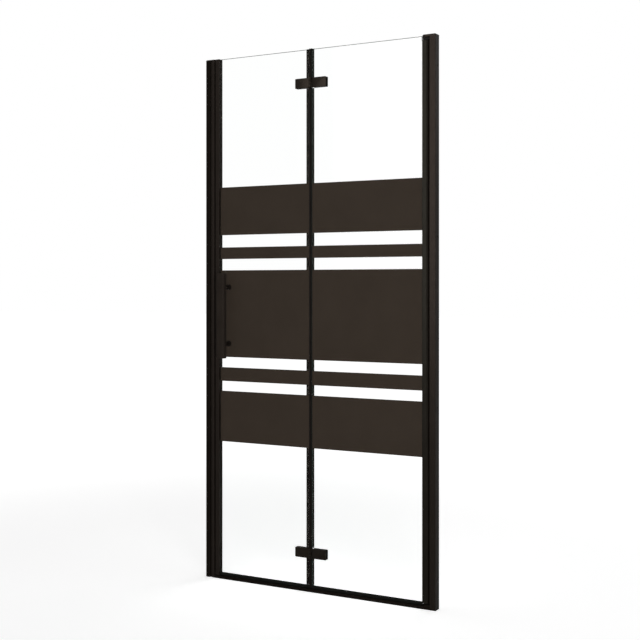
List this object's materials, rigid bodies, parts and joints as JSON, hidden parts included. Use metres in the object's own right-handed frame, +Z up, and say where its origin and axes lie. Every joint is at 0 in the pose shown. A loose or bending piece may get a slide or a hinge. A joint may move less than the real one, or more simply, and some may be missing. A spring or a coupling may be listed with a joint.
{
  "type": "bifold shower door",
  "caption": "Folding shower door: clear glass panels with dark privacy bands between black wall channels, joined by clamp hinges, with a bar handle.",
  "frame": {"origin": "middle of the threshold's underside", "axes": "+X to the right along the closed door, +Y into the shower, +Z up"},
  "size_m": [0.89, 0.0784, 1.85],
  "materials": {
    "powder_black": "matte",
    "cast_black": "matte",
    "seal_black": "soft black PVC",
    "clear_glass": "clear toughened glass",
    "band_brown": "matt printed layer, brown-black",
    "nylon_black": "moulded nylon",
    "bright_steel": "stainless steel"
  },
  "bodies": {
    "frame": {"wall_channel_left": "powder_black", "wall_channel_right": "powder_black", "strike_jamb": "powder_black", "jamb_magnet_strip": "seal_black", "strike_end_cap": "cast_black", "hinge_jamb": "powder_black", "jamb_bulb_seal": "seal_black", "threshold": "powder_black", "threshold_end_seal": "seal_black", "top_pivot_block": "cast_black", "bottom_pivot_foot": "cast_black", "top_pivot_pin": "bright_steel", "bottom_pivot_pin": "bright_steel", "thrust_washer": "nylon_black", "fixing_screws": "bright_steel", "screw_cover_caps": "cast_black"},
    "pivot_panel": {"pivot_stile": "powder_black", "stile_plugs": "nylon_black", "stile_gasket": "seal_black", "pivot_glass": "clear_glass", "pivot_privacy_bands": "band_brown", "pivot_bottom_seal": "seal_black", "pivot_centre_seal": "seal_black", "upper_pivot_leaf": "cast_black", "lower_pivot_leaf": "cast_black", "upper_pivot_back_plate": "cast_black", "lower_pivot_back_plate": "cast_black", "pivot_clamp_gaskets": "seal_black", "pivot_clamp_screws": "bright_steel", "fold_hinge_pins": "bright_steel"},
    "folding_panel": {"fold_glass": "clear_glass", "fold_privacy_bands": "band_brown", "closing_profile": "powder_black", "closing_profile_gasket": "seal_black", "closing_profile_caps": "cast_black", "panel_magnet_strip": "seal_black", "fold_bottom_seal": "seal_black", "fold_centre_seal": "seal_black", "upper_fold_leaf": "cast_black", "lower_fold_leaf": "cast_black", "upper_fold_back_plate": "cast_black", "lower_fold_back_plate": "cast_black", "fold_clamp_gaskets": "seal_black", "fold_clamp_screws": "bright_steel", "handle_bar": "powder_black", "handle_posts": "cast_black", "handle_studs": "bright_steel", "handle_washers": "nylon_black", "handle_cap_nuts": "cast_black"}
  },
  "joints": [
    {"name": "panel_pivot", "type": "hinge", "parent": "frame", "child": "pivot_panel", "pos_m": [0.4095, 0, 0], "axis": [0, 0, -1], "range_deg": [0, 90]},
    {"name": "panel_fold", "type": "hinge", "parent": "pivot_panel", "child": "folding_panel", "pos_m": [-0.019, -0.0095, 0], "axis": [0, 0, 1], "range_deg": [0, 165]}
  ]
}
